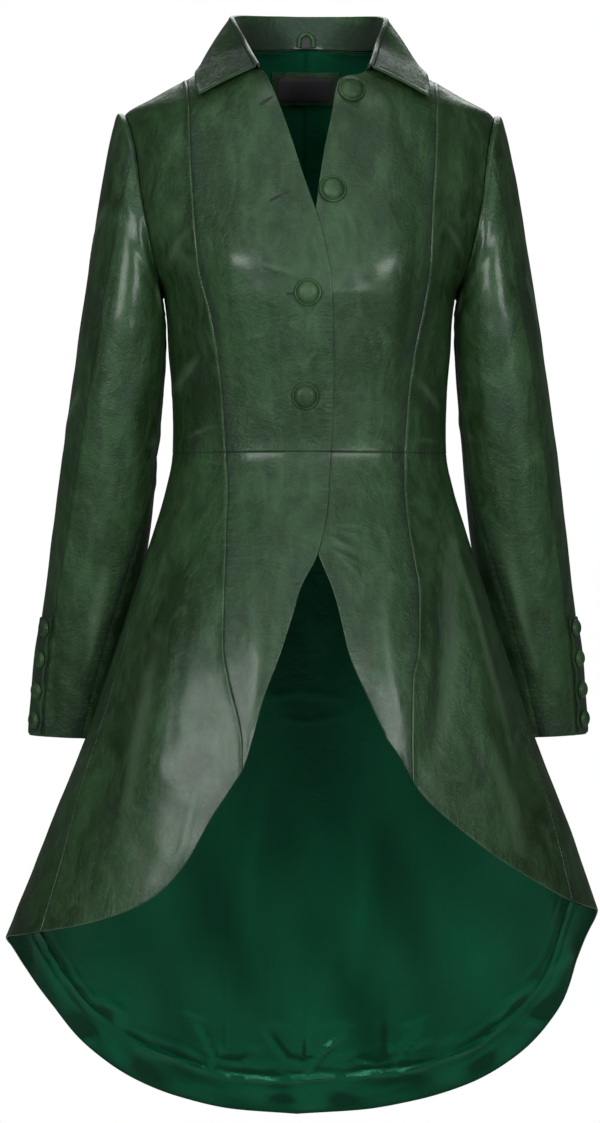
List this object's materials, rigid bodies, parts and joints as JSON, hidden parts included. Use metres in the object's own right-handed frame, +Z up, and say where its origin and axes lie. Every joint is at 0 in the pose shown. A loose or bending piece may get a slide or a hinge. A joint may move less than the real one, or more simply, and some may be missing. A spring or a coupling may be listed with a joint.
{
  "type": "leather tailcoat",
  "caption": "Fitted leather tailcoat in its worn shape, hollow, with princess seams, a turned-down collar, a cutaway front and a long rounded tail.",
  "frame": {"origin": "the middle of the neck opening, at the height where the wearer's shoulders hold the coat up", "axes": "+Z up, -Y to the front of the coat, +X to the wearer's left"},
  "size_m": [0.6177, 0.391, 1.1835],
  "materials": {
    "leather": "semi-gloss, patchy dark green",
    "satin": "satin, deep green",
    "label": "matt, near black"
  },
  "bodies": {
    "root": {"back_left": "leather", "back_right": "leather", "collar": "leather", "front_left": "leather", "front_right": "leather", "hanger_loop": "leather", "label_patch": "leather", "side_back_left": "leather", "side_back_right": "leather", "side_front_left": "leather", "side_front_right": "leather", "skirt_front_left": "leather", "skirt_front_right": "leather", "skirt_side_left": "leather", "skirt_side_right": "leather", "sleeve_back_left": "leather", "sleeve_back_right": "leather", "sleeve_front_left": "leather", "sleeve_front_right": "leather", "tail_left": "leather", "tail_right": "leather", "tail_side_left": "leather", "tail_side_right": "leather", "vent_left": "leather", "vent_right": "leather", "button_front_1": "leather", "button_front_2": "leather", "button_front_3": "leather", "button_front_4": "leather", "button_cuff_left_1": "leather", "button_cuff_left_2": "leather", "button_cuff_left_3": "leather", "button_cuff_left_4": "leather", "button_cuff_right_1": "leather", "button_cuff_right_2": "leather", "button_cuff_right_3": "leather", "button_cuff_right_4": "leather", "lining_back": "satin", "lining_tail_left": "satin", "lining_tail_right": "satin", "lining_tail_side_left": "satin", "lining_tail_side_right": "satin", "label": "label", "size_tab": "label"}
  },
  "joints": []
}
